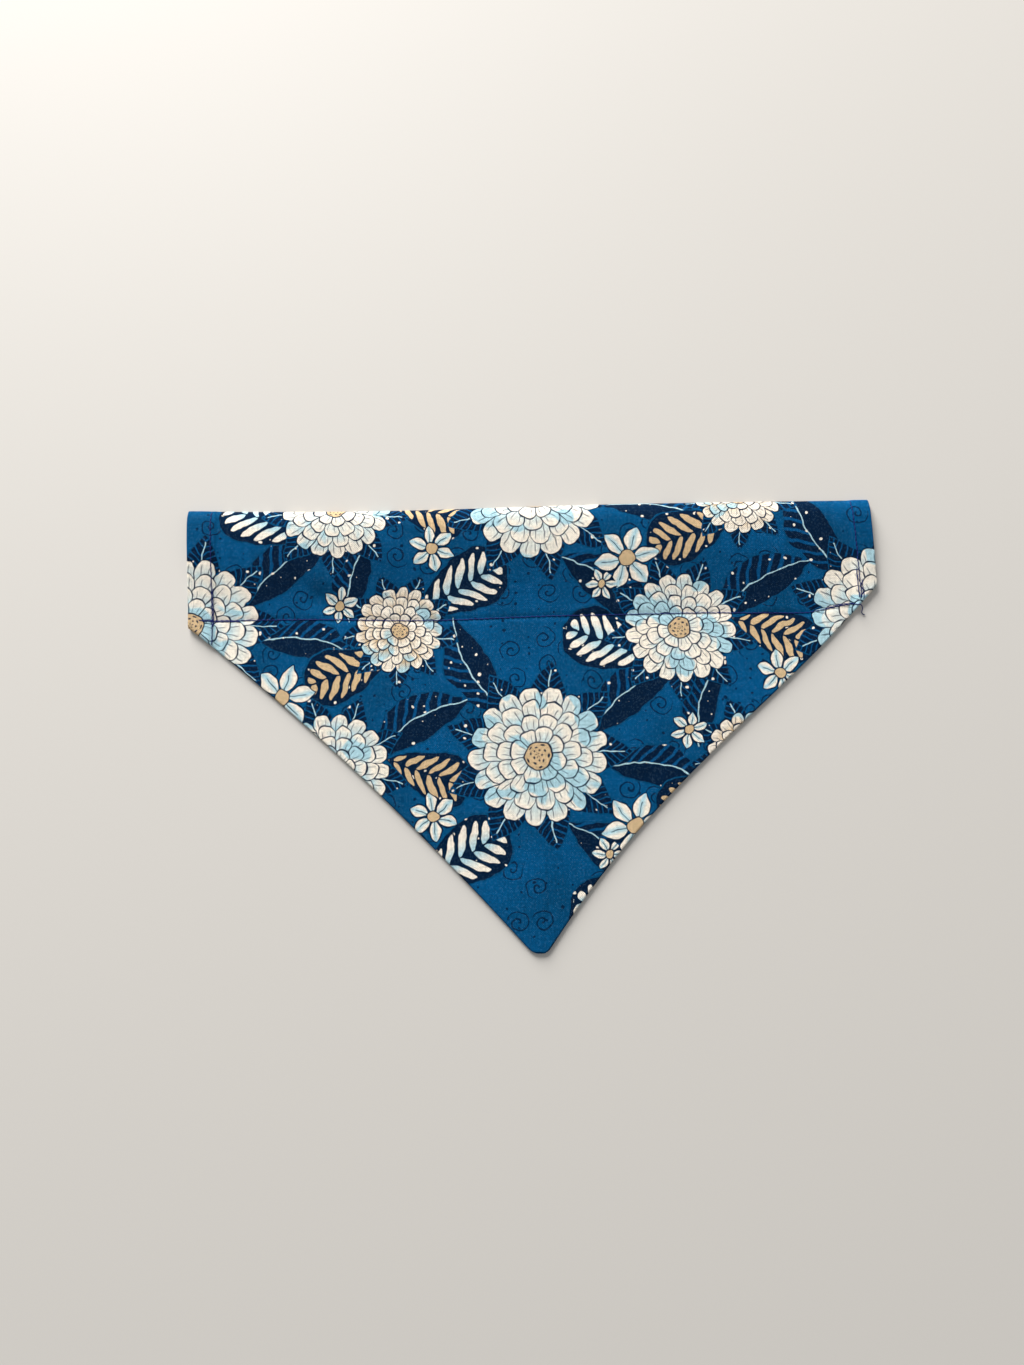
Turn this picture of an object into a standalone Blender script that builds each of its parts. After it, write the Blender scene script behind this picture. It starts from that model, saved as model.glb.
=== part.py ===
"""A pet bandana that slides over a collar, lying flat on a table.

It is one piece of printed cotton, cut double on the fold. The fold is the straight top edge. The two
slanting edges are sewn together and turned, so they are closed. A row of stitches runs across both
layers below the fold and leaves a channel for the collar. The cloth is hemmed inwards at the two short
ends, and the channel is open there.

The solid is a sleeve: a closed loop of cloth round the X axis, lofted from section to section across
the width, given its thickness, and then sewn through along the channel seam.

Units are metres. +X runs along the fold, +Y points from the tip to the fold and +Z is up. The origin
is on the table, at the centre of the outline's box.
"""

import math

import bmesh
import bpy

MM = 0.001

# Corners of the outline: name, distance right of the fold's middle, depth below the fold.
CORNERS = {
    "fold_left": (-135.0 * MM, 0.0),
    "fold_right": (135.0 * MM, 0.0),
    "side_left_end": (-133.6 * MM, 48.2 * MM),
    "side_right_end": (136.7 * MM, 35.2 * MM),
    "tip": (1.5 * MM, 175.8 * MM),
}
# Slanting edges: corner it starts at, how far it curves in, how much more it does so near the tip.
SLANTS = {
    "left": ("side_left_end", 4.1 * MM, 0.0),
    "right": ("side_right_end", 4.6 * MM, 1.1),
}
TIP_BLEND = 8.0 * MM  # difference in depth over which the two slanting edges round into each other
FOLD_DIP = 1.1 * MM  # the fold sinks this far in its left half
FOLD_DIP_AT = -72.0 * MM
FOLD_DIP_HALF_WIDTH = 75.0 * MM
SIDE_LEAN_POWER = 6  # how quickly the sections turn upright, away from the leaning short sides

# The cloth and how it lies.
CLOTH = 1.0 * MM  # thickness of each layer
HEM_CLOTH = 1.4 * MM  # its thickness at the hems, which are turned inwards
HEM_LEFT = 10.5 * MM  # width of the left hem
HEM_RIGHT = 7.5 * MM  # width of the right hem
HEM_STEP = 2.0 * MM  # distance over which a hem thins out
LAYER_GAP = 0.7 * MM  # air between the layers below the channel
CHANNEL_RISE = 5.0 * MM  # how far the channel's front layer stands above the flat part
CHANNEL_SLOPE = 14.0 * MM  # distance over which it rises from the seam
FOLD_SLOPE = 12.0 * MM  # distance over which it rises from the fold
FOLD_SHARE = 0.45  # how much of the rise the rounded fold has already
SLANT_SLOPE = 9.0 * MM  # distance over which it rises from a slanting edge
FOLD_ROUND = 2.6 * MM  # depth of the rounded fold
SEAM_DIP = 0.2 * MM  # how far the stitches draw the front layer down
SEAM_DRAW = 2.5 * MM  # and how far from the seam that shows
POCKET_SWELL = 0.5 * MM  # how far the lower part swells between its edges
POCKET_SLOPE = 30.0 * MM

# The channel seam: distance right of the middle, depth below the fold.
SEAM_COURSE = (
    (-136.0 * MM, 45.3 * MM),
    (-90.0 * MM, 45.4 * MM),
    (-40.0 * MM, 46.5 * MM),
    (15.0 * MM, 45.4 * MM),
    (65.0 * MM, 45.1 * MM),
    (105.0 * MM, 45.7 * MM),
    (127.0 * MM, 42.6 * MM),
    (138.0 * MM, 41.0 * MM),
)
SEAM_LEFT = -129.0 * MM  # where its stitches start
SEAM_RIGHT = 125.5 * MM  # and where they end, at the right slanting edge
SEAM_WIDTH = 1.3 * MM
SEAM_DEEPEST_SHARE = 0.72  # the bend stays this far up a section that is too short for the seam

# Soft unevenness of the channel: where along X, half width, extra rise.
CHANNEL_WAVES = (
    (-112.0 * MM, 26.0 * MM, -0.3 * MM),
    (-62.0 * MM, 30.0 * MM, 0.5 * MM),
    (-8.0 * MM, 26.0 * MM, -0.3 * MM),
    (48.0 * MM, 34.0 * MM, 0.4 * MM),
    (104.0 * MM, 24.0 * MM, -0.2 * MM),
)

# How finely the sleeve is divided.
STATION_STEPS = 54
STATION_CROWDING = 0.11  # how much closer the sections stand at the ends and the tip
LEAN_PASSES = 6
CHANNEL_ROWS = 8
POCKET_ROWS = 7
BACK_ROWS = 3
FOLD_STEPS = 6
EDGE_STEPS = 6
SEAM_STEPS = 30
WELD_DISTANCE = 0.01 * MM

CLOTH_COLOUR = (0.012, 0.105, 0.250, 1.0)
CLOTH_ROUGHNESS = 0.9


def smooth_step(t):
    """0 below 0, 1 above 1, and an S-shaped rise between."""
    t = min(max(t, 0.0), 1.0)
    return t * t * (3.0 - 2.0 * t)


def bump(distance, half_width):
    """A rounded hill of height 1 at distance 0 that ends at half_width."""
    if abs(distance) >= half_width:
        return 0.0
    return 0.5 + 0.5 * math.cos(math.pi * distance / half_width)


def spread(start, end, steps):
    """Evenly spaced values from start to end, both included."""
    return [start + (end - start) * k / steps for k in range(steps + 1)]


def slant_depth(x, side):
    """Depth of a slanting edge at x: the straight line from its corner to the tip, less its bow."""
    corner_name, bow, skew = SLANTS[side]
    corner, tip = CORNERS[corner_name], CORNERS["tip"]
    share = (x - corner[0]) / (tip[0] - corner[0])
    length = math.hypot(tip[0] - corner[0], tip[1] - corner[1])
    upright_bow = bow * length / abs(tip[0] - corner[0])
    hill = 4.0 * share * (1.0 - share) * (1.0 + skew * (2.0 * share - 1.0))
    return corner[1] + share * (tip[1] - corner[1]) - hill * upright_bow


def lower_depth(x):
    """Depth of the lower edge at x: the shallower slanting edge, rounded into the other at the tip."""
    left = slant_depth(x, "left")
    right = slant_depth(x, "right")
    overlap = max(TIP_BLEND - abs(left - right), 0.0) / TIP_BLEND
    return min(left, right) - overlap * overlap * TIP_BLEND / 4.0


def lower_slope(x):
    """How much deeper the lower edge gets for each unit along X."""
    step = 0.5 * MM
    return (lower_depth(x + step) - lower_depth(x - step)) / (2.0 * step)


def fold_depth(x):
    """Depth of the fold below the straight line between its ends."""
    return FOLD_DIP * bump(x - FOLD_DIP_AT, FOLD_DIP_HALF_WIDTH)


def seam_depth(x):
    """Depth of the channel seam at x, with a soft turn at each point of its course."""
    for (x0, d0), (x1, d1) in zip(SEAM_COURSE, SEAM_COURSE[1:]):
        if x <= x1:
            return d0 + (d1 - d0) * smooth_step((x - x0) / (x1 - x0))
    return SEAM_COURSE[-1][1]


def cloth_thickness(x):
    """Thickness of a layer at x: plain between the hems, thicker in them."""
    into_left = CORNERS["fold_left"][0] + HEM_LEFT - x
    into_right = x - (CORNERS["fold_right"][0] - HEM_RIGHT)
    return CLOTH + (HEM_CLOTH - CLOTH) * smooth_step(max(into_left, into_right) / HEM_STEP)


def lean(share):
    """Sideways shift of a section for each unit of depth, so that the two short sides lean as sewn."""
    corner, end = ("fold_left", "side_left_end") if share < 0.0 else ("fold_right", "side_right_end")
    drift = (CORNERS[end][0] - CORNERS[corner][0]) / CORNERS[end][1]
    return drift * abs(share) ** SIDE_LEAN_POWER


def channel_rise(x):
    """Height of the channel's crown above the flat part at x."""
    return CHANNEL_RISE + sum(rise * bump(x - at, half) for at, half, rise in CHANNEL_WAVES)


def front_height(x, depth, thickness):
    """Height of the front layer's upper face above the table, for layers of this thickness."""
    flat = 2.0 * thickness + LAYER_GAP
    from_edge = (lower_depth(x) - depth) / math.hypot(1.0, lower_slope(x))
    from_seam = seam_depth(x) - depth
    from_fold = depth - fold_depth(x) - FOLD_ROUND
    crown = FOLD_SHARE + (1.0 - FOLD_SHARE) * smooth_step(from_fold / FOLD_SLOPE)
    rise = smooth_step(from_seam / CHANNEL_SLOPE) * smooth_step(from_edge / SLANT_SLOPE)
    swell = smooth_step(from_edge / POCKET_SLOPE) * smooth_step(-from_seam / POCKET_SLOPE)
    dip = bump(from_seam, SEAM_DRAW) * smooth_step(from_edge / SLANT_SLOPE)
    return flat + channel_rise(x) * crown * rise + POCKET_SWELL * swell - SEAM_DIP * dip


def section(share):
    """One closed section of the sleeve, as (x, y, z) points: down the front, round the slanting edge,
    back up underneath and round the fold. share runs from -1 at the left end to 1 at the right."""
    x_fold = share * CORNERS["fold_right"][0]
    shift = lean(share)
    low = lower_depth(x_fold)
    for _ in range(LEAN_PASSES):
        low = lower_depth(x_fold + shift * low)
    slope = lower_slope(x_fold + shift * low)
    thickness = cloth_thickness(x_fold)
    edge_half = thickness + LAYER_GAP / 2.0
    edge_round = edge_half * math.hypot(1.0, slope)
    first = fold_depth(x_fold) + FOLD_ROUND
    last = low - edge_round
    bend = min(seam_depth(x_fold), first + SEAM_DEEPEST_SHARE * (last - first))

    depths = spread(first, bend - SEAM_DRAW, CHANNEL_ROWS) + [bend]
    depths += spread(bend + SEAM_DRAW, last, POCKET_ROWS)
    points = [(d, front_height(x_fold + shift * d, d, thickness)) for d in depths]
    edge_top = points[-1][1]
    for k in range(1, EDGE_STEPS):
        turn = math.pi * k / EDGE_STEPS
        points.append((last + edge_round * math.sin(turn), edge_top * (0.5 + 0.5 * math.cos(turn))))
    points += [(d, 0.0) for d in spread(last, first, BACK_ROWS)]
    fold_top = points[0][1]
    for k in range(1, FOLD_STEPS):
        turn = math.pi * k / FOLD_STEPS
        points.append((first - FOLD_ROUND * math.sin(turn), fold_top * (0.5 - 0.5 * math.cos(turn))))
    return [(x_fold + shift * d, -d, z) for d, z in points]


def station_shares():
    """Places of the sections across the width, closer together at the two ends and at the tip, with
    two more at each hem's inner edge."""
    half_width = CORNERS["fold_right"][0]
    tip_share = CORNERS["tip"][0] / half_width
    shares = []
    for t in spread(-1.0, 1.0, STATION_STEPS):
        reach = 1.0 + tip_share if t < 0.0 else 1.0 - tip_share
        shares.append(tip_share + reach * (t - STATION_CROWDING * math.sin(2.0 * math.pi * t)))
    left_hem = -half_width + HEM_LEFT
    right_hem = half_width - HEM_RIGHT
    hem_places = (left_hem - HEM_STEP, left_hem, right_hem, right_hem + HEM_STEP)
    kept = [s for s in shares if all(abs(s * half_width - p) > HEM_STEP / 2.0 for p in hem_places)]
    return sorted(kept + [place / half_width for place in hem_places])


def outline_centre(sections):
    """Middle of the outline's box in X and Y."""
    xs = [p[0] for ring in sections for p in ring]
    ys = [p[1] for ring in sections for p in ring]
    return (min(xs) + max(xs)) / 2.0, (min(ys) + max(ys)) / 2.0


def make_sleeve(shares, sections, centre, collection, material):
    """Lofts the sections into an open-ended sleeve and gives the cloth its thickness inwards."""
    mesh = bpy.data.meshes.new("bandana_cloth")
    bm = bmesh.new()
    rings = [[bm.verts.new((x - centre[0], y - centre[1], z)) for x, y, z in ring] for ring in sections]
    for ring, following in zip(rings, rings[1:]):
        count = len(ring)
        for k in range(count):
            after = (k + 1) % count
            bm.faces.new((ring[k], ring[after], following[after], following[k]))
    bmesh.ops.recalc_face_normals(bm, faces=bm.faces)
    bm.to_mesh(mesh)
    bm.free()
    mesh.shade_smooth()
    mesh.materials.append(material)
    sleeve = bpy.data.objects.new("bandana_cloth", mesh)
    collection.objects.link(sleeve)

    weights = sleeve.vertex_groups.new(name="cloth thickness")
    ring_length = len(sections[0])
    for k, share in enumerate(shares):
        thickness = cloth_thickness(share * CORNERS["fold_right"][0])
        ring_points = range(k * ring_length, (k + 1) * ring_length)
        weights.add(list(ring_points), thickness / HEM_CLOTH, "REPLACE")
    thick = sleeve.modifiers.new("cloth thickness", "SOLIDIFY")
    thick.thickness = HEM_CLOTH
    thick.vertex_group = weights.name
    thick.offset = -1.0
    thick.use_even_offset = True
    return sleeve


def make_channel_seam(centre, cutters):
    """The row of stitches as a narrow bar that bridges the two layers along the channel seam."""
    curve = bpy.data.curves.new("channel_seam_bar", "CURVE")
    curve.dimensions = "3D"
    curve.bevel_depth = SEAM_WIDTH / 2.0
    curve.bevel_resolution = 1
    curve.use_fill_caps = True
    line = curve.splines.new("POLY")
    line.points.add(SEAM_STEPS)
    for point, x in zip(line.points, spread(SEAM_LEFT, SEAM_RIGHT, SEAM_STEPS)):
        height = cloth_thickness(x) + LAYER_GAP / 2.0
        point.co = (x - centre[0], -seam_depth(x) - centre[1], height, 1.0)
    guide = bpy.data.objects.new("channel_seam_curve", curve)
    cutters.objects.link(guide)
    bpy.context.view_layer.update()
    solid = bpy.data.meshes.new_from_object(guide.evaluated_get(bpy.context.evaluated_depsgraph_get()))
    welded = bmesh.new()
    welded.from_mesh(solid)
    bmesh.ops.remove_doubles(welded, verts=welded.verts, dist=WELD_DISTANCE)
    bmesh.ops.recalc_face_normals(welded, faces=welded.faces)
    welded.to_mesh(solid)
    welded.free()
    bar = bpy.data.objects.new("channel_seam", solid)
    bar.matrix_world = guide.matrix_world
    bar.hide_render = True
    bar.display_type = "WIRE"
    cutters.objects.link(bar)
    bpy.data.objects.remove(guide)
    return bar


def cloth_material():
    """Printed cotton, in the print's ground colour."""
    material = bpy.data.materials.new("printed_cotton")
    material.use_nodes = True
    shader = material.node_tree.nodes["Principled BSDF"]
    shader.inputs["Base Color"].default_value = CLOTH_COLOUR
    shader.inputs["Roughness"].default_value = CLOTH_ROUGHNESS
    shader.inputs["Metallic"].default_value = 0.0
    return material


def main():
    for thing in list(bpy.data.objects):
        bpy.data.objects.remove(thing, do_unlink=True)
    part = bpy.data.collections.new("pet_bandana")
    cutters = bpy.data.collections.new("cutters")
    bpy.context.scene.collection.children.link(part)
    bpy.context.scene.collection.children.link(cutters)

    shares = station_shares()
    sections = [section(share) for share in shares]
    centre = outline_centre(sections)
    sleeve = make_sleeve(shares, sections, centre, part, cloth_material())
    sewn = sleeve.modifiers.new("channel seam", "BOOLEAN")
    sewn.operation = "UNION"
    sewn.solver = "EXACT"
    sewn.object = make_channel_seam(centre, cutters)


main()
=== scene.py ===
import math

import bpy
import numpy as np
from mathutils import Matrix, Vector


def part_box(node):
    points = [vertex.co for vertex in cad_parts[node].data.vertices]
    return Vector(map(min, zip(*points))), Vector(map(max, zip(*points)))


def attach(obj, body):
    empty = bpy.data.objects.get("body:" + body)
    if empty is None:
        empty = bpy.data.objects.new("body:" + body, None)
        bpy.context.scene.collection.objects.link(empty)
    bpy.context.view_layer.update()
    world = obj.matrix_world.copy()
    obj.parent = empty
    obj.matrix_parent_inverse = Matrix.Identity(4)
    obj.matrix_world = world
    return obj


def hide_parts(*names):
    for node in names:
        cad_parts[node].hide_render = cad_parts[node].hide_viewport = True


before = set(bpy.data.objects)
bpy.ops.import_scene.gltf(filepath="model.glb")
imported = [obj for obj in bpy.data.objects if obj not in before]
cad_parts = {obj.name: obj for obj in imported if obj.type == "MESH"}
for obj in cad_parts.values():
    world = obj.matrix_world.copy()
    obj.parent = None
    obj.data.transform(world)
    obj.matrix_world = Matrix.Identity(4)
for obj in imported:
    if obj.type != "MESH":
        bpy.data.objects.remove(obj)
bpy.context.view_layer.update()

MM = 0.001

# Camera. It looks down on the table from 0.39 m, leaning 9 degrees towards the fold, as a phone held
# in the hand does. The picture is upright, so its long side sets the field of view.
VIEW_PLACE = (-9.4 * MM, -46.4 * MM, 391.7 * MM)
VIEW_TILT = math.radians(9.0)
VIEW_ROLL = math.radians(-0.89)
LONG_SIDE_PIXELS = 1365
FOCAL_PIXELS = 1027
SENSOR = 36.0

view = bpy.data.cameras.new("view")
view.sensor_fit = "VERTICAL"
view.sensor_height = SENSOR
view.lens = SENSOR * FOCAL_PIXELS / LONG_SIDE_PIXELS
view_object = bpy.data.objects.new("view", view)
view_object.location = VIEW_PLACE
view_object.rotation_euler = (VIEW_TILT, 0.0, VIEW_ROLL)
bpy.context.scene.collection.objects.link(view_object)
bpy.context.scene.camera = view_object

# Table top. A plain pale board with a dull finish, which the cloth lies on. It isn't part of the object,
# and it lies a hair below the cloth.
BOARD_HALF = 1.2
BOARD_DROP = 0.1 * MM
BOARD_COLOUR = (0.62, 0.585, 0.535, 1.0)
BOARD_ROUGHNESS = 0.7

board_mesh = bpy.data.meshes.new("table_top")
corner_signs = np.array([(-1, -1), (1, -1), (1, 1), (-1, 1)])
board_points = np.column_stack([corner_signs * BOARD_HALF, np.full(4, -BOARD_DROP)])
board_mesh.from_pydata(board_points.tolist(), [], [(0, 1, 2, 3)])
board_paint = bpy.data.materials.new("pale_board")
board_paint.use_nodes = True
board_shader = board_paint.node_tree.nodes["Principled BSDF"]
board_shader.inputs["Base Color"].default_value = BOARD_COLOUR
board_shader.inputs["Roughness"].default_value = BOARD_ROUGHNESS
board_mesh.materials.append(board_paint)
board = bpy.data.objects.new("table_top", board_mesh)
bpy.context.scene.collection.objects.link(board)

# Light. Low soft daylight from beyond the fold, a little from the left, and an even pale room around. The
# low light shows the rise beside the fold, as in a room with one window.
SKY_COLOUR = (0.93, 0.96, 1.0, 1.0)
SKY_STRENGTH = 0.37
WINDOW_PLACE = (-0.8, 2.2, 0.95)
WINDOW_SIZE = 1.4
WINDOW_POWER = 142.0

room = bpy.data.worlds.new("room")
room.use_nodes = True
room.node_tree.nodes["Background"].inputs["Color"].default_value = SKY_COLOUR
room.node_tree.nodes["Background"].inputs["Strength"].default_value = SKY_STRENGTH
bpy.context.scene.world = room
window_light = bpy.data.lights.new("window", "AREA")
window_light.size = WINDOW_SIZE
window_light.energy = WINDOW_POWER
window = bpy.data.objects.new("window", window_light)
window.location = WINDOW_PLACE
window.rotation_euler = (
    math.atan2(math.hypot(WINDOW_PLACE[0], WINDOW_PLACE[1]), WINDOW_PLACE[2]),
    0.0,
    math.atan2(-WINDOW_PLACE[1], -WINDOW_PLACE[0]) - math.pi / 2.0,
)
bpy.context.scene.collection.objects.link(window)
bpy.context.scene.view_settings.view_transform = "Standard"

# Bandana cloth. One piece of quilting cotton, cut double on the fold, sewn along both slanting edges,
# turned right side out and pressed. Its short ends are hemmed inwards, and a row of stitches across
# both layers makes the channel for the collar.
cloth_low, cloth_high = (np.array(corner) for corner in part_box("bandana_cloth"))
SOLID_HALF = 135.0 * MM  # from the solid's left end to the fold's middle
MIDDLE = cloth_low[0] + SOLID_HALF  # X of the fold's middle
HALF_WIDTH = 134.3 * MM  # half the fold's length
FOLD_LINE = cloth_high[1]  # Y of the fold
LEFT_CORNER = (-132.9 * MM, 48.2 * MM)  # lower ends of the short sides: right of the middle, below the fold
RIGHT_CORNER = (135.6 * MM, 35.2 * MM)
SLANTS_MEET = (1.7 * MM, 176.6 * MM)  # where the slanting edges would meet, but for the blunt tip
TIP_DEPTH = 173.1 * MM
LEFT_BOW = (4.1 * MM, 0.0)  # how far a slanting edge curves in, and how much more near the tip
RIGHT_BOW = (4.6 * MM, 1.3)
TIP_BLEND = 2.4 * MM
FOLD_SET_BACK = 0.3 * MM  # how far inside the straight line the fold lies all along
FOLD_DIP = (1.5 * MM, -65.0 * MM, 118.0 * MM)  # depth, place and half width of the fold's dip
# Course of the channel seam: right of the middle, below the fold
SEAM_COURSE = np.array([(-136.0, 45.3), (-90.0, 45.4), (-40.0, 46.5), (15.0, 45.4), (65.0, 45.1),
                        (105.0, 45.7), (127.0, 42.6), (138.0, 41.0)]) * MM
LEFT_HEM = -124.2 * MM  # the hems' inner edges, at half their height
RIGHT_HEM = 128.2 * MM
LEFT_ROW = (-125.0 * MM, 0.030)  # a hem's row of stitches: its place at the fold, and its lean
RIGHT_ROW = (127.1 * MM, 0.052)

CLOTH = 0.26 * MM
TWO_LAYERS = 1.05 * MM  # height of the pocket below the channel
HEM_EXTRA = 0.85 * MM  # the turned hems make the ends thicker
HEM_STEP = 2.5 * MM  # the width of the step up to the hems
ALLOWANCE_RISE = 0.25 * MM  # the seam allowance inside the slanting edges
ALLOWANCE_WIDTH = 4.8 * MM
ALLOWANCE_SLOPE = 6.0 * MM
POCKET_SWELL = 0.7 * MM
POCKET_SLOPE = 28.0 * MM
CHANNEL_RISE = (3.2 * MM, 2.4 * MM)  # at the left end and at the right end
FOLD_SLOPE = (12.0 * MM, 9.0 * MM)  # how far from the fold the rise is reached, at either end
STEEP_SLOPE = 7.0 * MM  # how far from the fold its steep part is reached
STEEP_SHARE = 0.55  # the steep part's share of the rise
CHANNEL_SLOPE = 34.0 * MM
FOLD_SHARE = 0.15  # how much of the rise the rounded fold has already
PRESSED_END = 0.25  # how much less the channel rises at its hemmed ends
PRESSED_LENGTH = 0.2  # over how much of the half width
SLANT_SLOPE = 9.0 * MM
FOLD_ROUND = 0.8 * MM
SEAM_GROOVE = 0.32 * MM  # how deep the stitches draw the cloth in
HEM_GROOVE = 0.25 * MM
BACK_GROOVE = 0.2 * MM
GROOVE_HALF = 1.2 * MM
BACK_EDGE = 2.0 * MM  # how far inside the slanting edges the back's grooves are full
SEAM_PUCKERS = (0.15 * MM, 7.5 * MM, 5.0 * MM)  # height, pitch and reach of the small waves along a row
HEM_PUCKERS = (0.08 * MM, 6.0 * MM, 3.0 * MM)
PUCKER_START = 1.5 * MM
PUCKER_SLANT = 0.25
RIPPLE_LENGTHS = np.array([1.0, 0.63, 1.71])  # of the sines that make uneven waves, in shares of the pitch
RIPPLE_PHASE = 3.0
RIPPLE_STEP = 2.4
RIPPLE_SUM = 2.5
HEM_TURN = 0.38 * MM  # radius of the hem's turned edge
HEM_DEPTH = 9.0 * MM
LOWEST_FRONT = 0.72 * MM
LEAN_POWER = 6  # how fast the lean of the short sides dies away from them
# How finely the mesh is divided, and how much closer together its lines stand at some places
MAIN_LOOPS = 225
CHANNEL_ROWS = 36
POCKET_ROWS = 82
BACK_POCKET_ROWS = 28
BACK_CHANNEL_ROWS = 16
TURN_STEPS = 8
HEM_TURN_STEPS = 5
HEM_BACK_STEPS = 7
EDGE_ROUNDS = 8  # rounds that settle the depth of the edge below a leaning line
BEND_LIMIT = 0.72  # where the mesh bends at the seam, at most this far down
CHANNEL_CROWDING = 0.55
POCKET_CROWDING = 0.6
BACK_CROWDING = 0.75
WIDTH_SAMPLES = 4001
HEM_CROWDING = 1.3
HEM_CROWDING_HALF = 6.0 * MM
END_CROWDING = 1.5
END_CROWDING_HALF = 0.03
# Soft unevenness of the channel: place along X, half width, rise
CHANNEL_WAVES = np.array([(-112, 26, -0.3), (-62, 30, 0.5), (-8, 26, -0.3), (48, 34, 0.4),
                          (104, 24, -0.2)]) * MM
# A soft slanting crease near the channel's left end
CREASE_MIDDLE = (-79.0 * MM, 31.0 * MM)
CREASE_HALF_LENGTH = 17.0 * MM
CREASE_HALF_WIDTH = 7.5 * MM
CREASE_RISE = 0.9 * MM
CREASE_SLOPE = 0.8
CREASE_TROUGH = 0.6


def smooth(t):
    """0 below 0, 1 above 1, and 3 t squared less 2 t cubed between."""
    t = np.clip(t, 0.0, 1.0)
    return t * t * (3.0 - 2.0 * t)


def hill(distance, half_width):
    """A cosine hill of height 1 that ends at half_width."""
    return np.where(np.abs(distance) < half_width, 0.5 + 0.5 * np.cos(np.pi * distance / half_width), 0.0)


def shoulder(t):
    """0 below 0, 1 above 1, and 1 less the cube of 1 less t between: steep at first, then level."""
    return 1.0 - (1.0 - np.clip(t, 0.0, 1.0)) ** 3


def from_left_to_right(x, ends):
    """A size that changes smoothly along the fold, from its value at the left end to that at the right."""
    return ends[0] + (ends[1] - ends[0]) * smooth(0.5 + 0.5 * x / HALF_WIDTH)


def slant(x, corner, bow):
    """Depth of a slanting edge at x: the straight line from its corner to the tip, less a parabola."""
    share = (x - corner[0]) / (SLANTS_MEET[0] - corner[0])
    upright = bow[0] * math.dist(corner, SLANTS_MEET) / abs(SLANTS_MEET[0] - corner[0])
    arch = 4.0 * share * (1.0 - share) * (1.0 + bow[1] * (2.0 * share - 1.0))
    return corner[1] + share * (SLANTS_MEET[1] - corner[1]) - arch * upright


def rounded_least(a, b):
    """The lesser of two depths, with a parabola where they cross."""
    overlap = np.maximum(TIP_BLEND - np.abs(a - b), 0.0) / TIP_BLEND
    return np.minimum(a, b) - overlap**2 * TIP_BLEND / 4.0


def lower(x):
    """Depth of the lower edge at x: the least of the two slants and the blunt tip, with rounded corners."""
    slants = rounded_least(slant(x, LEFT_CORNER, LEFT_BOW), slant(x, RIGHT_CORNER, RIGHT_BOW))
    return rounded_least(slants, TIP_DEPTH)


def steepness(x):
    """How much deeper the lower edge gets for each unit along X."""
    step = 0.5 * MM
    return (lower(x + step) - lower(x - step)) / (2.0 * step)


def fold(x):
    """Depth of the fold at x: a straight line with one shallow cosine dip."""
    depth, place, half_width = FOLD_DIP
    return FOLD_SET_BACK + depth * hill(x - place, half_width)


def seam(x):
    """Depth of the channel seam at x: its course, with a smooth step between one point and the next."""
    places, depths = SEAM_COURSE[:, 0], SEAM_COURSE[:, 1]
    k = np.clip(np.searchsorted(places, x) - 1, 0, len(places) - 2)
    share = (x - places[k]) / (places[k + 1] - places[k])
    return depths[k] + (depths[k + 1] - depths[k]) * smooth(share)


def ripple(run, pitch, seed):
    """Irregular waves along a seam: three sines whose lengths and phases don't match."""
    phases = RIPPLE_PHASE * np.sin(np.arange(len(RIPPLE_LENGTHS)) * RIPPLE_STEP + seed)
    turns = [2.0 * np.pi * run / length + phase for length, phase in zip(pitch * RIPPLE_LENGTHS, phases)]
    return sum(np.sin(turn) for turn in turns) / RIPPLE_SUM


def groove(distance):
    """A narrow bell, 1 on the row of stitches."""
    return np.exp(-((distance / GROOVE_HALF) ** 2))


def puckers(distance, run, sizes, seed):
    """Waves along a row of stitches that start just beside it and die away from it."""
    height, pitch, reach = sizes
    beside = smooth(np.abs(distance) / PUCKER_START) * np.exp(-np.abs(distance) / reach)
    return height * beside * ripple(run + PUCKER_SLANT * distance, pitch, seed)


def hem_share(x):
    """1 in the two hems, 0 between them, with a step just inside their stitches."""
    return smooth((LEFT_HEM + HEM_STEP - x) / HEM_STEP) + smooth((x - RIGHT_HEM + HEM_STEP) / HEM_STEP)


def beside_row(x, depth, row):
    """Distance right of a hem's row of stitches, which leans as a straight line."""
    return x - row[0] - row[1] * depth


def crease(x, depth):
    """A soft ridge with a shallower trough beside it: a cosine hill along its course, times a cosine hill
    and a hollow across it."""
    turn = math.atan(CREASE_SLOPE)
    beside, below = x - CREASE_MIDDLE[0], depth - CREASE_MIDDLE[1]
    along = beside * math.cos(turn) + below * math.sin(turn)
    across = below * math.cos(turn) - beside * math.sin(turn)
    ridge = hill(across, CREASE_HALF_WIDTH)
    trough = hill(across - CREASE_HALF_WIDTH, CREASE_HALF_WIDTH)
    return CREASE_RISE * hill(along, CREASE_HALF_LENGTH) * (ridge - CREASE_TROUGH * trough)


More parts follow.
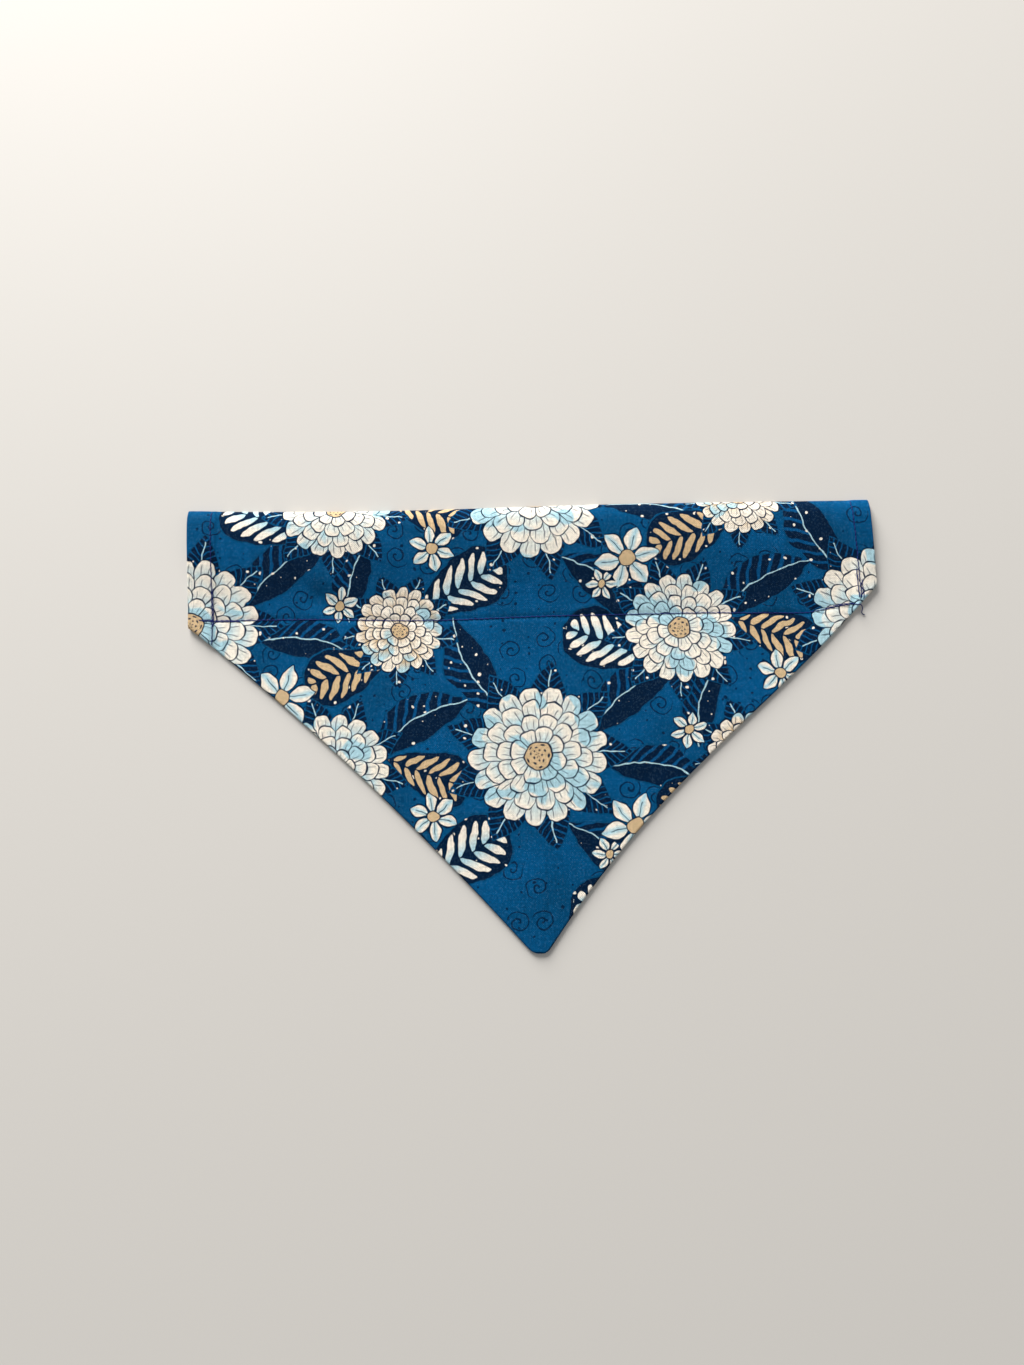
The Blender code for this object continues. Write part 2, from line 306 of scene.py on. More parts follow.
def front_height(x, depth):
    """Height of the front layer: the flat pocket, plus the channel's puff, the pocket's swell, the hems and
    the seam allowance, less the grooves that the stitches draw, with small waves along each row."""
    edge = (lower(x) - depth) / np.hypot(1.0, steepness(x))
    above = seam(x) - depth
    left, right = beside_row(x, depth, LEFT_ROW), beside_row(x, depth, RIGHT_ROW)
    near_edge = smooth(edge / SLANT_SLOPE)
    rise = from_left_to_right(x, CHANNEL_RISE) + sum(w[2] * hill(x - w[0], w[1]) for w in CHANNEL_WAVES)
    rise = rise * (1.0 - PRESSED_END * smooth(1.0 - (1.0 - np.abs(x) / HALF_WIDTH) / PRESSED_LENGTH))
    from_fold = depth - fold(x) - FOLD_ROUND
    crown = (1.0 - STEEP_SHARE) * shoulder(from_fold / from_left_to_right(x, FOLD_SLOPE))
    crown = crown + STEEP_SHARE * shoulder(from_fold / STEEP_SLOPE)
    crown = FOLD_SHARE + (1.0 - FOLD_SHARE) * crown
    height = TWO_LAYERS + HEM_EXTRA * hem_share(x)
    height = height + rise * crown * smooth(above / CHANNEL_SLOPE) * near_edge
    height = height + POCKET_SWELL * smooth(edge / POCKET_SLOPE) * smooth(-above / POCKET_SLOPE)
    height = height + ALLOWANCE_RISE * (1.0 - smooth((edge - ALLOWANCE_WIDTH) / ALLOWANCE_SLOPE))
    height = height + crease(x, depth)
    height = height - SEAM_GROOVE * groove(above) * near_edge
    height = height + near_edge * puckers(above, x, SEAM_PUCKERS, seed=1.0)
    height = height - HEM_GROOVE * (groove(left) + groove(right))
    height = height + puckers(left, depth, HEM_PUCKERS, seed=2.0)
    height = height + puckers(right, depth, HEM_PUCKERS, seed=3.0)
    return np.maximum(height, LOWEST_FRONT + HEM_EXTRA * hem_share(x))


def back_height(x, depth):
    """Height of the back layer's under face: on the table, but for the grooves along the stitches."""
    edge = (lower(x) - depth) / np.hypot(1.0, steepness(x))
    left, right = beside_row(x, depth, LEFT_ROW), beside_row(x, depth, RIGHT_ROW)
    rows = np.maximum(np.maximum(groove(left), groove(right)), groove(seam(x) - depth))
    return BACK_GROOVE * rows * smooth(edge / BACK_EDGE)


def lean(share):
    """Sideways shift for each unit of depth, so that the short sides lean as they were sewn."""
    left = (LEFT_CORNER[0] + HALF_WIDTH) / LEFT_CORNER[1]
    right = (RIGHT_CORNER[0] - HALF_WIDTH) / RIGHT_CORNER[1]
    return np.where(share < 0.0, left, right) * np.abs(share) ** LEAN_POWER


def crowded(count, amount):
    """Shares from 0 to 1 that stand closer at both ends: t less a sine of 2 pi t."""
    t = np.linspace(0.0, 1.0, count + 1)
    return t - amount * np.sin(2.0 * np.pi * t) / (2.0 * np.pi)


def loops(share):
    """One closed loop of cloth for each share of the half width: down the front, round the slanting edge,
    up the back and round the fold. Each turn is half an ellipse, and the fold's leans with the front layer.
    Gives the distance right of the middle, the depth and the height, each as an array of loops by points,
    and how many points the front has."""
    x_fold = share * (HALF_WIDTH - HEM_TURN)
    shift = lean(share)
    low = lower(x_fold)
    for _ in range(EDGE_ROUNDS):
        low = lower(x_fold + shift * low)
    slope = np.hypot(1.0, steepness(x_fold + shift * low))[:, None]
    x_fold, shift, low = x_fold[:, None], shift[:, None], low[:, None]
    reach = 0.5 * (TWO_LAYERS + ALLOWANCE_RISE + HEM_EXTRA * hem_share(x_fold)) * slope
    first, last = fold(x_fold) + FOLD_ROUND, low - reach
    bend = np.minimum(seam(x_fold), first + BEND_LIMIT * (last - first))
    channel = first + (bend - first) * crowded(CHANNEL_ROWS, CHANNEL_CROWDING)
    front = np.hstack([channel, bend + (last - bend) * crowded(POCKET_ROWS, POCKET_CROWDING)[1:]])
    front_z = front_height(x_fold + shift * front, front)
    half_turn = np.pi * np.arange(1, TURN_STEPS) / TURN_STEPS
    edge = last + reach * np.sin(half_turn)
    edge_z = front_z[:, -1:] * (0.5 + 0.5 * np.cos(half_turn))
    up_pocket = last + (bend - last) * crowded(BACK_POCKET_ROWS, BACK_CROWDING)
    back = np.hstack([up_pocket, bend + (first - bend) * crowded(BACK_CHANNEL_ROWS, BACK_CROWDING)[1:]])
    back_z = back_height(x_fold + shift * back, back)
    turn = first - FOLD_ROUND * np.sin(half_turn)
    rising = (front_z[:, 1:2] - front_z[:, :1]) / (front[:, 1:2] - front[:, :1])
    turn_z = (front_z[:, :1] - rising * FOLD_ROUND * np.sin(half_turn)) * (0.5 - 0.5 * np.cos(half_turn))
    depth = np.hstack([front, edge, back, turn])
    return x_fold + shift * depth, depth, np.hstack([front_z, edge_z, back_z, turn_z]), front.shape[1]


# Loops across the width, closer together at the hems and at the tip
even = np.linspace(-1.0, 1.0, WIDTH_SAMPLES)
crowding = np.ones(WIDTH_SAMPLES)
for place in (LEFT_HEM, RIGHT_HEM, SLANTS_MEET[0]):
    crowding = crowding + HEM_CROWDING * hill(even * HALF_WIDTH - place, HEM_CROWDING_HALF)
for end in (-1.0, 1.0):
    crowding = crowding + END_CROWDING * hill(even - end, END_CROWDING_HALF)
travelled = np.concatenate([[0.0], np.cumsum((crowding[1:] + crowding[:-1]) / 2.0)])
main_shares = np.interp(np.linspace(0.0, travelled[-1], MAIN_LOOPS), travelled, even)

# Beyond each end the cloth turns over a small radius and runs back inside as the hem
turning = np.pi * np.arange(1, HEM_TURN_STEPS + 1) / HEM_TURN_STEPS
running_back = HEM_DEPTH * np.arange(1, HEM_BACK_STEPS + 1) / HEM_BACK_STEPS
end_share = np.concatenate([np.ones(HEM_TURN_STEPS), 1.0 - running_back / HALF_WIDTH])
end_outward = np.concatenate([HEM_TURN * np.sin(turning), np.zeros(HEM_BACK_STEPS)])
end_inward = np.concatenate([HEM_TURN * (1.0 - np.cos(turning)), np.full(HEM_BACK_STEPS, 2.0 * HEM_TURN)])
end_extra = np.concatenate([HEM_TURN * turning, HEM_TURN * np.pi + 2.0 * running_back])
no_main = np.zeros(MAIN_LOOPS)
shares = np.concatenate([-end_share[::-1], main_shares, end_share])
outward = np.concatenate([-end_outward[::-1], no_main, end_outward])[:, None]
inward = np.concatenate([end_inward[::-1], no_main, end_inward])[:, None]
extra = np.concatenate([-end_extra[::-1], no_main, end_extra])[:, None]

loop_x, loop_depth, loop_z, front_points = loops(shares)
along_depth = np.roll(loop_depth, -1, axis=1) - np.roll(loop_depth, 1, axis=1)
along_z = np.roll(loop_z, -1, axis=1) - np.roll(loop_z, 1, axis=1)
along = np.hypot(along_depth, along_z)
cloth_points = np.stack([
    MIDDLE + loop_x + outward,
    FOLD_LINE - loop_depth - inward * along_z / along,
    loop_z - inward * along_depth / along,
], axis=2)

# Flat place of each corner on the cut cloth, in millimetres: across, and up from the fold. The front
# counts down from the fold and the back counts up, so the print runs over the fold as on real cloth.
loop_count, loop_length = loop_x.shape
closed_depth = np.hstack([loop_depth, loop_depth[:, :1]])
closed_z = np.hstack([loop_z, loop_z[:, :1]])
steps = np.hypot(np.diff(closed_depth, axis=1), np.diff(closed_z, axis=1))
run = np.hstack([np.zeros((loop_count, 1)), np.cumsum(steps, axis=1)])
fold_middle = loop_length - TURN_STEPS // 2
edge_middle = front_points + TURN_STEPS // 2 - 1
up_front = run[:, fold_middle:fold_middle + 1] - run[:, -1:] - run
up_back = run[:, fold_middle:fold_middle + 1] - run
across = loop_x + extra
across = np.hstack([across, across[:, :1]])

row, column = np.meshgrid(np.arange(loop_count - 1), np.arange(loop_length), indexing="ij")
row, column = row.ravel(), column.ravel()
corner_rows = np.stack([row, row, row + 1, row + 1], axis=1)
corner_columns = np.stack([column, column + 1, column + 1, column], axis=1)
cloth_faces = corner_rows * loop_length + corner_columns % loop_length
up = np.where(column[:, None] < edge_middle, up_front[corner_rows, corner_columns],
              up_back[corner_rows, corner_columns])
flat_places = np.stack([across[corner_rows, corner_columns], up], axis=2) / MM

cloth_mesh = bpy.data.meshes.new("bandana")
cloth_mesh.from_pydata(cloth_points.reshape(-1, 3).tolist(), [], cloth_faces.tolist())
cloth_mesh.uv_layers.new(name="flat_cloth").data.foreach_set("uv", flat_places.ravel().astype(np.float32))
cloth_mesh.shade_smooth()

# Print of the cloth. Flowers, leaves and sprays in cream, aqua, navy and tan on blue, with inked outlines,
# in a half-drop repeat. Lengths are in millimetres on the cut cloth, and angles in degrees.
REPEAT_WIDTH = 134.0
REPEAT_HEIGHT = 104.0
HALF_DROP = 0.5 * REPEAT_HEIGHT  # how much higher each column of the repeat stands than the one on its left
LINE = 0.28  # half of an inked outline
HALO = 2.2 * LINE  # how far the deep ground reaches beyond a motif
SOFT = 0.12  # how far the ink fades out at an edge
# Each motif's place right and up, its turn and its radius or half length
LARGE_FLOWERS = [(2.0, 4.0, 12.0, 26.5), (58.0, 52.0, 40.0, 21.5), (83.0, 2.0, 0.0, 17.0)]
BLOSSOMS = [(38.0, -24.0, 10.0, 13.0), (96.0, 34.0, 40.0, 9.5), (28.0, 70.0, 55.0, 6.8),
            (60.0, 12.0, 20.0, 7.5)]
LEAVES = [(38.0, 26.0, 38.0, 22.0), (-22.0, 38.0, 118.0, 22.0), (31.0, -36.0, -42.0, 23.0),
          (90.0, 69.0, 30.0, 22.0), (48.0, -3.0, -10.0, 19.0), (66.0, 22.0, 75.0, 17.0)]
SPRAYS = [(32.0, 46.0, 158.0, 20.0), (64.0, -14.0, 200.0, 18.0), (106.0, 18.0, 30.0, 20.0),
          (94.0, 50.0, -20.0, 17.0)]
LEAF_SLIMNESS = 2.4  # of the ovals by which the nearest leaf or spray is found
SPRAY_SLIMNESS = 1.9
# Large flower, in shares of its radius. Of a petal: how much its edge drops beside its middle, the line
# between two petals, where its tint begins and how fast it grows, and its two veins
PETAL_RINGS = [(1.0, 17, 0.0), (0.8, 14, 0.3), (0.6, 11, 0.1), (0.41, 8, 0.5)]  # radius, petals and turn
PETAL_DROP = 0.17
PETAL_LINE = 0.8 * LINE
ROOT_START = 0.25
ROOT_GROWTH = 5.0
TAN_ROOTS_BELOW = 20.0  # millimetres: smaller flowers have tan petal roots
VEIN_ASIDE = 0.42
VEIN_HALF = 0.05
VEIN_SOFT = 0.05
VEIN_END = 0.09
VEIN_INK = 0.75
HEART_RADIUS = 0.2
SEEDS_ROUND = 5.0
SEEDS_OUT = 70.0
SEED_LEVEL = 0.55
SEED_SOFT = 0.2
# The collar of pointed dark leaves behind a large flower. Its rib and its leaning stripes are in millimetres
COLLAR_LEAVES = 9
COLLAR_TURN = 0.2
COLLAR_POINT = 1.36
COLLAR_NOTCH = 0.5
COLLAR_RIB = 0.6
COLLAR_RIB_END = 1.26
STRIPE_STEP = 1.4
STRIPE_HALF = 0.34
STRIPE_LEAN = 0.35
# Star flower, in shares of its radius, with the vein's half width in millimetres
STAR_PETALS = 6
STAR_PETAL_MIDDLE = 0.58
STAR_PETAL_LENGTH = 0.42
STAR_PETAL_WIDTH = 0.25
STAR_TINT = (-9.0, 1.15)
STAR_VEIN = 0.14
STAR_VEIN_END = 0.72
STAR_HEART = 0.24
STAR_HEART_LINE = 0.6 * LINE
# Leaf, in shares of its half length, with the rib's half width in millimetres
LEAF_BEND = 0.2
LEAF_WIDTH = 0.4
LEAF_RIB = 0.25
LEAF_VEIN_STEP = 0.11
LEAF_VEIN_HALF = 0.034
LEAF_VEIN_SOFT = 0.02
LEAF_VEIN_LEAN = 0.8
LEAF_VEIN_FADE = 0.4
# Spray, in shares of its half length, with the stem's half width in millimetres
LEAFLET_STEP = 0.13
LEAFLET_LEAN = 0.75
LEAFLET_REACH = 0.5
LEAFLET_WIDTH = 0.2
LEAFLET_TINT = (-2.2, 1.3)
SHADOW_REACH = 1.12
SHADOW_MARGIN = 0.03
TAN_SPRAYS_BELOW = 19.0  # millimetres: smaller sprays are tan
STEM_HALF = 0.3
STEM_END = 0.95
NO_REACH = 0.001
# Scattered dots and curls, wobble of the drawn lines, and lumps of the uneven colours, in millimetres
DOT_CELL = 5.0
DOT_RANGE = 1.1  # a dot's radius is a random share of this, less the cut, so some dots are missing
DOT_CUT = 0.45
CURL_CELL = 15.0
CURL_SCATTER = 0.7
CURL_PITCH = 0.42
CURL_LINE = 0.42
CURL_TAPER = 0.045
CURL_RADIUS = 4.6
GROUND_INK = 0.85
WOBBLE_LUMP = 7.0
WOBBLE = 2.4
GROUND_LUMP = 30.0
GROUND_RAMP = (3.0, -1.1)
TINT_LUMP = 12.0
TINT_RAMP = (3.6, -1.2)
WASH_LUMP = 13.0
WASH_LEVEL = 0.585
WASH_SOFT = 0.04


def ink(red, green, blue):
    """A colour as the shader wants it, from its 0 to 255 screen values, by the usual screen curve."""
    share = np.array([red, green, blue]) / 255.0
    linear = np.where(share <= 0.04045, share / 12.92, ((share + 0.055) / 1.055) ** 2.4)
    return (*linear.tolist(), 1.0)


GROUND = ink(2, 81, 129)
GROUND_DEEP = ink(2, 70, 110)
NAVY = ink(2, 29, 56)
MID_BLUE = ink(4, 76, 124)
AQUA = ink(174, 209, 217)
CREAM = ink(245, 234, 216)
TAN = ink(210, 180, 138)


class Mark:
    """A number at each point of the cloth, worked out by nodes. Arithmetic on marks adds Math nodes."""

    def __init__(self, socket):
        self.socket = socket

    def made(self, operation, *others, clamp=False):
        node = self.socket.id_data.nodes.new("ShaderNodeMath")
        node.operation = operation
        node.use_clamp = clamp
        for socket, item in zip(node.inputs, (self, *others)):
            wire(socket, item)
        return Mark(node.outputs[0])

    def __add__(self, other):
        return self.made("ADD", other)

    def __sub__(self, other):
        return self.made("SUBTRACT", other)

    def __mul__(self, other):
        return self.made("MULTIPLY", other)

    def __abs__(self):
        return self.made("ABSOLUTE")

    def max(self, other):
        return self.made("MAXIMUM", other)

    def min(self, other):
        return self.made("MINIMUM", other)

    def scaled(self, factor, extra):
        return self.made("MULTIPLY_ADD", factor, extra)

    def ramp(self, factor, extra):
        """The number times a factor, plus an extra, kept between 0 and 1."""
        return self.made("MULTIPLY_ADD", factor, extra, clamp=True)

    def inside(self, soft=SOFT):
        """1 where a distance from an edge is below zero, 0 where it is above, fading over a soft width."""
        return self.ramp(-1.0 / soft, 0.5)


def wire(socket, item):
    """Feeds a socket from a mark, or sets it to a plain number or colour."""
    if isinstance(item, Mark):
        socket.id_data.links.new(item.socket, socket)
    else:
        socket.default_value = item


def vectors(tree, operation, *items, out=0):
    """A Vector Math node's result."""
    node = tree.nodes.new("ShaderNodeVectorMath")
    node.operation = operation
    for socket, item in zip(node.inputs, items):
        wire(socket, item)
    return Mark(node.outputs[out])


def dotted(tree, item, way):
    """How far a vector reaches along a way, times the way's own length."""
    return vectors(tree, "DOT_PRODUCT", item, way, out=1)


def joined(tree, *items):
    """A vector of X, Y and Z, or of the first ones of them."""
    node = tree.nodes.new("ShaderNodeCombineXYZ")
    for socket, item in zip(node.inputs, items):
        wire(socket, item)
    return Mark(node.outputs[0])


def parted(tree, item):
    """The X, Y and Z of a vector, as three marks."""
    node = tree.nodes.new("ShaderNodeSeparateXYZ")
    wire(node.inputs[0], item)
    return [Mark(socket) for socket in node.outputs]


def painted(under, colour, mask):
    """The colour over what lies under it, as strongly as its mask."""
    node = mask.socket.id_data.nodes.new("ShaderNodeMix")
    node.data_type = "RGBA"
    wire(node.inputs[0], mask)
    wire(node.inputs[6], under)
    wire(node.inputs[7], colour)
    return Mark(node.outputs[2])


def noise(tree, place, size, detail=1.0, out=0):
    """Soft noise about 0.5, whose lumps are about size wide."""
    node = tree.nodes.new("ShaderNodeTexNoise")
    node.noise_dimensions = "2D"
    wire(node.inputs["Vector"], place)
    node.inputs["Scale"].default_value = 1.0 / size
    node.inputs["Detail"].default_value = detail
    return Mark(node.outputs[out])


def cells(tree, place, width, scatter=1.0):
    """Scattered points about width apart. Gives the distance to the nearest one, in shares of the width,
    and that point's own random colour and its place."""
    node = tree.nodes.new("ShaderNodeTexVoronoi")
    node.voronoi_dimensions = "2D"
    wire(node.inputs["Vector"], place)
    node.inputs["Scale"].default_value = 1.0 / width
    node.inputs["Randomness"].default_value = scatter
    return [Mark(node.outputs[name]) for name in ("Distance", "Color", "Position")]


def nearest_motif(tree, lattice, places, slimness=1.0):
    """The nearest motif's own coordinates, as marks: along and across in shares of its size, and the size.
    The offset from a motif's place, in repeats, is wrapped to half a repeat either way, and two dot
    products turn and scale it. Slim motifs are compared by ovals, slimness times as long as wide."""
    best = None
    for right, up, turn, size in places:
        columns = right / REPEAT_WIDTH
        place = (columns, (up - columns * HALF_DROP) / REPEAT_HEIGHT, 0.0)
        offset = vectors(tree, "SUBTRACT", lattice, place)
        offset = vectors(tree, "WRAP", offset, (0.5, 0.5, 0.5), (-0.5, -0.5, -0.5))
        cos, sin = math.cos(math.radians(turn)), math.sin(math.radians(turn))
        along_way = ((REPEAT_WIDTH * cos + HALF_DROP * sin) / size, REPEAT_HEIGHT * sin / size, 0.0)
        across_way = ((HALF_DROP * cos - REPEAT_WIDTH * sin) / size, REPEAT_HEIGHT * cos / size, 0.0)
        along, across = dotted(tree, offset, along_way), dotted(tree, offset, across_way)
        packed = joined(tree, along, across, size)
        slim_across = across * slimness
        squared = slim_across.made("MULTIPLY_ADD", slim_across, along * along)
        if best is None:
            best, least = packed, squared
        else:
            nearer = squared.made("LESS_THAN", least)
            mixer = tree.nodes.new("ShaderNodeMix")
            mixer.data_type = "VECTOR"
            wire(mixer.inputs[0], nearer)
            wire(mixer.inputs[4], best)
            wire(mixer.inputs[5], packed)
            best, least = Mark(mixer.outputs[1]), squared.min(least)
    return parted(tree, best) + [least.made("SQRT")]


def wrapped(mark, half):
    """A mark wrapped to half a step either way."""
    return mark.made("WRAP", half, -half)


def large_flower(colour, along, across, size, radius, dots, tint, wash):
    """A many-petalled flower on a collar of leaves, drawn as rings of petals from the outside in. A petal's
    edge is its ring's radius less the cube of the distance from the petal's middle line."""
    turn = across.made("ARCTAN2", along)
    beside = abs(wrapped(turn + COLLAR_TURN, math.pi / COLLAR_LEAVES)) * (COLLAR_LEAVES / math.pi)
    collar = (radius - beside.scaled(-COLLAR_NOTCH, COLLAR_POINT)) * size
    rib = (beside * radius) * size
    stripe = (abs(wrapped(radius * size - rib * STRIPE_LEAN, STRIPE_STEP)) - STRIPE_HALF).inside()
    body = painted(NAVY, MID_BLUE, stripe)
    body = painted(body, CREAM, dots)
    body = painted(body, AQUA, (rib - COLLAR_RIB).max((radius - COLLAR_RIB_END) * size).inside())
    colour = painted(colour, GROUND_DEEP, (collar - HALO).inside())
    colour = painted(colour, body, collar.inside())
    root_colour = painted(AQUA, TAN, size.made("LESS_THAN", TAN_ROOTS_BELOW))
    for ring_radius, petals, phase in PETAL_RINGS:
        half_step = math.pi / petals
        beside = abs(wrapped(turn + phase, half_step)) * (1.0 / half_step)
        tip = beside.made("POWER", 3.0).scaled(-PETAL_DROP * ring_radius, ring_radius)
        beyond = (radius - tip) * size
        between = (beside.scaled(-half_step, half_step) * radius) * size
        colour = painted(colour, NAVY, (beyond - LINE).inside())
        depth_in = radius.ramp(-ROOT_GROWTH, ROOT_GROWTH * ring_radius - ROOT_START)
        petal = painted(painted(CREAM, AQUA, wash), root_colour, depth_in * tint)
        vein = (abs(beside - VEIN_ASIDE) - VEIN_HALF).max(radius - (ring_radius - VEIN_END))
        petal = painted(petal, NAVY, vein.inside(VEIN_SOFT) * VEIN_INK)
        colour = painted(colour, petal, (beyond + LINE).max(between.scaled(-1.0, PETAL_LINE)).inside())
    heart = (radius - HEART_RADIUS) * size
    colour = painted(colour, NAVY, (heart - LINE).inside())
    seeds = (turn * SEEDS_ROUND).made("SINE") * (radius * SEEDS_OUT).made("SINE")
    seed_colour = painted(TAN, NAVY, seeds.scaled(-1.0, SEED_LEVEL).inside(SEED_SOFT))
    return painted(colour, seed_colour, (heart + LINE).inside())


def blossom(colour, along, across, size, radius):
    """A star flower of six petals round a wide heart. A petal is pointed at both ends: its half width is a
    parabola over its length. Its middle is tinted, with one vein."""
    petal_turn = wrapped(across.made("ARCTAN2", along), math.pi / STAR_PETALS)
    out = radius * petal_turn.made("COSINE")
    aside = abs(radius * petal_turn.made("SINE"))
    share = out.scaled(1.0 / STAR_PETAL_LENGTH, -STAR_PETAL_MIDDLE / STAR_PETAL_LENGTH)
    edge = (aside + share * share * STAR_PETAL_WIDTH - STAR_PETAL_WIDTH) * size
    colour = painted(colour, NAVY, (edge - LINE).inside())
    petal = painted(CREAM, AQUA, aside.ramp(*STAR_TINT))
    petal = painted(petal, NAVY, (aside * size - STAR_VEIN).max((out - STAR_VEIN_END) * size).inside())
    colour = painted(colour, petal, (edge + LINE).inside())
    heart = (radius - STAR_HEART) * size
    colour = painted(colour, NAVY, (heart - LINE).inside())
    return painted(colour, TAN, (heart + STAR_HEART_LINE).inside())


def leaf(colour, along, across, size, dots):
    """A long bent leaf: its half width is a parabola, its veins lean forward in stripes on one side of its
    rib, and it carries small dots."""
    squared = along * along
    bent = across + squared.scaled(LEAF_BEND, -0.5 * LEAF_BEND)
    half = squared.scaled(-LEAF_WIDTH, LEAF_WIDTH)
    edge = (abs(bent) - half) * size
    colour = painted(colour, GROUND_DEEP, (edge - HALO).inside())
    stripe = abs(wrapped(along - abs(bent) * LEAF_VEIN_LEAN, LEAF_VEIN_STEP)) - LEAF_VEIN_HALF
    stripe = stripe.inside(LEAF_VEIN_SOFT) * (bent * size).ramp(1.0, LEAF_VEIN_FADE)
    body = painted(NAVY, MID_BLUE, stripe)
    body = painted(body, AQUA, (abs(bent) * size - LEAF_RIB).inside())
    body = painted(body, CREAM, dots)
    return painted(colour, body, edge.inside())


def spray(colour, along, across, size, dots):
    """A spray of small leaflets on both sides of a stem, on a dark leaf of the same outline. The leaflets
    lean forward, each as wide as an arch over its length, and get shorter towards both ends of the stem."""
    beside = abs(across)
    root = along - beside * LEAFLET_LEAN
    reach = (root * root).scaled(-LEAFLET_REACH, LEAFLET_REACH)
    leaflet = wrapped(root, LEAFLET_STEP)
    share = beside.made("DIVIDE", reach.max(NO_REACH))
    arch = (share * share.scaled(-1.0, 1.0)).max(0.0).made("SQRT")
    edge = ((abs(leaflet) - arch * LEAFLET_WIDTH) * size).max((beside - reach) * size)
    shadow = (beside - reach * SHADOW_REACH - SHADOW_MARGIN) * size
    colour = painted(colour, GROUND_DEEP, (shadow - HALO).inside())
    colour = painted(colour, painted(NAVY, CREAM, dots), shadow.inside())
    colour = painted(colour, NAVY, (edge - LINE).inside())
    tinted = painted(CREAM, AQUA, share.ramp(*LEAFLET_TINT))
    tinted = painted(tinted, TAN, size.made("LESS_THAN", TAN_SPRAYS_BELOW))
    colour = painted(colour, tinted, (edge + LINE).inside())
    stem = (beside * size - STEM_HALF).max((abs(along) - STEM_END) * size)
    return painted(colour, NAVY, stem.inside())


def printed(tree, place):
    """Colour of the print at a place on the cut cloth, worked out from the ground up: dots and curls on
    uneven blue, then leaves, sprays, large flowers and star flowers."""
    wobble = vectors(tree, "SUBTRACT", noise(tree, place, WOBBLE_LUMP, detail=2.0, out=1), (0.5, 0.5, 0.5))
    drawn = vectors(tree, "MULTIPLY_ADD", wobble, (WOBBLE, WOBBLE, 0.0), place)
    columns = dotted(tree, drawn, (1.0 / REPEAT_WIDTH, 0.0, 0.0))
    rows = dotted(tree, drawn, (-0.5 / REPEAT_WIDTH, 1.0 / REPEAT_HEIGHT, 0.0))
    lattice = joined(tree, columns, rows)

    dot_distance, dot_colour, _ = cells(tree, drawn, DOT_CELL)
    dot_size = dotted(tree, dot_colour, (DOT_RANGE, 0.0, 0.0)) - DOT_CUT
    dots = (dot_distance * DOT_CELL - dot_size).inside()

    curl_distance, curl_colour, curl_place = cells(tree, drawn, CURL_CELL, CURL_SCATTER)
    curl_along, curl_across, _ = parted(tree, vectors(tree, "SUBTRACT", drawn, curl_place))
    curl_turn = dotted(tree, curl_colour, (0.0, 2.0 * math.pi, 0.0))
    curl_angle = wrapped(curl_across.made("ARCTAN2", curl_along) + curl_turn, math.pi)
    curl_radius = curl_distance * CURL_CELL
    curl_arm = abs(wrapped(curl_radius - curl_angle * CURL_PITCH, CURL_PITCH * math.pi))
    curl_line = curl_arm - curl_radius.scaled(-CURL_TAPER, CURL_LINE)
    curls = curl_line.max(curl_radius - CURL_RADIUS).inside()

    lumps = noise(tree, place, GROUND_LUMP, detail=3.0)
    colour = painted(GROUND, GROUND_DEEP, lumps.ramp(*GROUND_RAMP))
    colour = painted(colour, NAVY, curls.max(dots) * GROUND_INK)
    along, across, size, _ = nearest_motif(tree, lattice, LEAVES, LEAF_SLIMNESS)
    colour = leaf(colour, along, across, size, dots)
    along, across, size, _ = nearest_motif(tree, lattice, SPRAYS, SPRAY_SLIMNESS)
    colour = spray(colour, along, across, size, dots)
    along, across, size, radius = nearest_motif(tree, lattice, LARGE_FLOWERS)
    tint = noise(tree, place, TINT_LUMP, detail=2.0).ramp(*TINT_RAMP)
    wash = (noise(tree, drawn, WASH_LUMP) * -1.0 + WASH_LEVEL).inside(WASH_SOFT)
    colour = large_flower(colour, along, across, size, radius, dots, tint, wash)
    along, across, size, radius = nearest_motif(tree, lattice, BLOSSOMS)
    return blossom(colour, along, across, size, radius)


# Weave of the cloth. A plain weave of 60 threads to the inch, whose yarns vary the print's tone, emboss it
# and darken it with painted shade between them. The wrong side, inside the channel and the hems, is paler.
# Lengths are in millimetres on the cut cloth.
THREAD_PITCH = 0.42
WRONG_CREAM = ink(222, 218, 208)
WRONG_BLUE = ink(140, 170, 196)
WRONG_LUMP = 18.0
WRONG_RAMP = (14.0, -7.0)
WEAVE_DEPTH = 0.05 * MM
# Painted shade: the colour darkens from the middle of each crossing to its rim, between the yarns
CROSSING_SHADE = (0.16, 0.82)  # how much brighter the middle of a crossing is, and how bright its rim is
# Partly the yarns' own tone and partly painted light: yarns running the two ways catch the light differently
OVER_SHADE = 0.25  # how much brighter than the mean the one set of yarns is, and the other darker
STREAK_SHADE = 0.3  # how much one yarn differs from another
STREAK_WIDTH = 0.5
STREAK_SQUEEZE = 0.04  # a streak's width over its length
SLUB_SHADE = 0.3  # how much one crossing differs from another
SLUB_HEIGHT = 0.5
BARE_YARN_RAMP = (4.0, -3.0)  # on a quarter of the crossings a little pale yarn shows
BARE_YARN = 0.03
COTTON_ROUGHNESS = 0.95
COTTON_SHINE = 0.05


